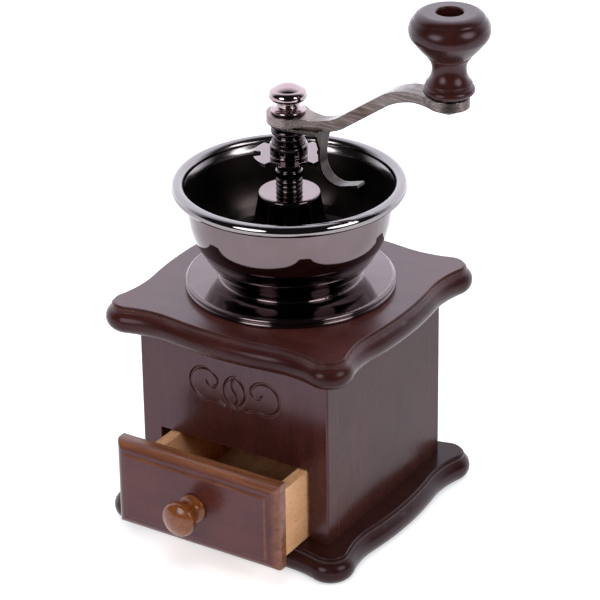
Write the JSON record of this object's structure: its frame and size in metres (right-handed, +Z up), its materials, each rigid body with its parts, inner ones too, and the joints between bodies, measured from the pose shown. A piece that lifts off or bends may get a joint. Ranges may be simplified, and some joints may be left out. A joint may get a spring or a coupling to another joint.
{
  "type": "hand-cranked box coffee grinder",
  "caption": "Wooden box coffee mill with moulded boards, a sliding drawer, an open polished hopper, a toothed grind adjuster and a bent crank arm with a turned handle.",
  "frame": {"origin": "on the underside of the base board, on the axis of the spindle", "axes": "+Z up along the spindle, -Y towards the drawer front, +X along the crank arm as it stands at rest"},
  "size_m": [0.1455, 0.1459, 0.2314],
  "materials": {
    "dark_wood": "satin lacquer",
    "amber_wood": "gloss lacquer",
    "raw_beech": "planed, unfinished",
    "black_nickel": "polished black nickel",
    "dark_steel": "darkened, brushed",
    "cast_iron": "as cast"
  },
  "bodies": {
    "case": {"base_board": "dark_wood", "top_board": "dark_wood", "front_panel": "dark_wood", "back_panel": "dark_wood", "left_panel": "dark_wood", "right_panel": "dark_wood", "drawer_guide_left": "raw_beech", "drawer_guide_right": "raw_beech", "base_screws": "dark_steel", "top_dowels": "raw_beech", "hopper_bowl": "black_nickel", "hopper_flange": "black_nickel", "bridge": "black_nickel", "hub_bushing": "black_nickel", "bridge_screws": "dark_steel", "burr_housing": "cast_iron", "outer_burr": "dark_steel", "burr_spring": "dark_steel"},
    "adjuster": {"adjusting_nut": "black_nickel"},
    "collar": {"keyed_collar": "black_nickel"},
    "spindle": {"spindle_shaft": "dark_steel", "inner_burr": "dark_steel", "burr_washer": "dark_steel", "burr_nut": "dark_steel", "locking_clip": "dark_steel", "crank_arm": "dark_steel", "cap_nut": "black_nickel", "handle_screw": "dark_steel", "handle_washer": "dark_steel", "handle_nut": "dark_steel"},
    "handle": {"handle_knob": "dark_wood"},
    "drawer": {"drawer_front": "dark_wood", "drawer_inner_front": "raw_beech", "drawer_side_left": "raw_beech", "drawer_side_right": "raw_beech", "drawer_back": "raw_beech", "drawer_bottom": "raw_beech", "drawer_knob": "amber_wood", "drawer_knob_screw": "dark_steel"}
  },
  "joints": [
    {"name": "crank_turn", "type": "hinge", "parent": "case", "child": "adjuster", "pos_m": [0, 0, 0.15], "axis": [0, 0, 1], "continuous": true},
    {"name": "nut_turn", "type": "hinge", "parent": "adjuster", "child": "collar", "pos_m": [0, 0, 0.16], "axis": [0, 0, 1], "range_deg": [-180, 180]},
    {"name": "burr_lift", "type": "slide", "parent": "collar", "child": "spindle", "axis": [0, 0, 1], "range_m": [-0.00063, 0.00063], "deforming": ["burr_spring"]},
    {"name": "handle_spin", "type": "hinge", "parent": "spindle", "child": "handle", "pos_m": [0.07275, 0, 0.21], "axis": [0, 0, 1], "continuous": true},
    {"name": "drawer_slide", "type": "slide", "parent": "case", "child": "drawer", "axis": [0, -1, 0], "range_m": [-0.0222, 0.04]}
  ],
  "couplings": [
    {"joint": "nut_turn", "follows": "burr_lift", "rad_per_m": 5026.5}
  ]
}
